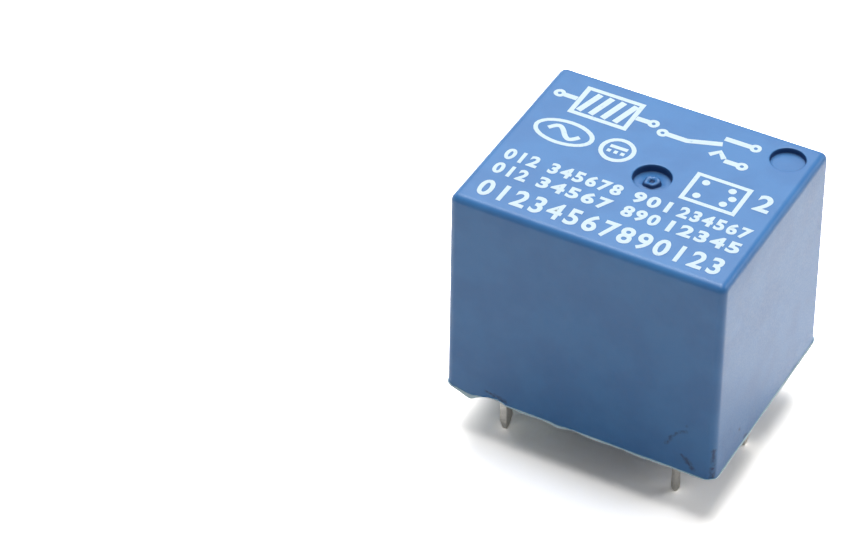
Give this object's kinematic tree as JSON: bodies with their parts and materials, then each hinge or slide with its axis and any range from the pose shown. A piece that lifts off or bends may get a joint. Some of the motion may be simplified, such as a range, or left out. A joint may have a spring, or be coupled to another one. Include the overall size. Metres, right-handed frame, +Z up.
{
  "type": "circuit board power relay",
  "caption": "Sealed cube relay for a circuit board: blue moulded case, black base, flat and round pins, and a hinged armature that switches a change-over contact inside.",
  "frame": {"origin": "middle of the case, at the level of the pin tips", "axes": "+Z up from the pin tips to the top of the case; +X along the case, towards the common pin; +Y towards the closed-contact pin"},
  "size_m": [0.019, 0.0154, 0.0192],
  "materials": {
    "case_blue": "satin moulded",
    "base_black": "fine matt moulded",
    "seal_resin": "poured, glossy",
    "sealant_green": "cured sealant",
    "bobbin_black": "moulded",
    "enamelled_copper": "enamelled wire",
    "magnet_steel": "nickel plated",
    "blade_bronze": "rolled",
    "rivet_steel": "plated",
    "contact_silver": "silver alloy",
    "tinned_brass": "tin plated",
    "tinned_wire": "tin plated"
  },
  "bodies": {
    "housing": {"case": "case_blue", "base": "base_black", "seal_resin": "seal_resin", "sealant_dab": "sealant_green", "bobbin": "bobbin_black", "winding": "enamelled_copper", "core": "magnet_steel", "yoke": "magnet_steel", "common_blade": "blade_bronze", "yoke_rivets": "rivet_steel", "common_terminal": "tinned_brass", "closed_terminal": "tinned_brass", "closed_contact": "contact_silver", "open_terminal": "tinned_brass", "open_contact": "contact_silver", "coil_terminal_a": "tinned_wire", "coil_terminal_b": "tinned_wire", "lead_wire_a": "enamelled_copper", "lead_wire_b": "enamelled_copper"},
    "swinging_armature": {"armature": "magnet_steel", "armature_rivets": "rivet_steel", "moving_contact": "contact_silver"}
  },
  "joints": [
    {"name": "armature_hinge", "type": "hinge", "parent": "housing", "child": "swinging_armature", "pos_m": [0.0073, 0, 0.0158], "axis": [0, -1, 0], "range_deg": [0, 2.6], "stiffness_Nm_per_rad": 0.008, "springref_deg": -5.73, "deforming": ["common_blade"]}
  ]
}
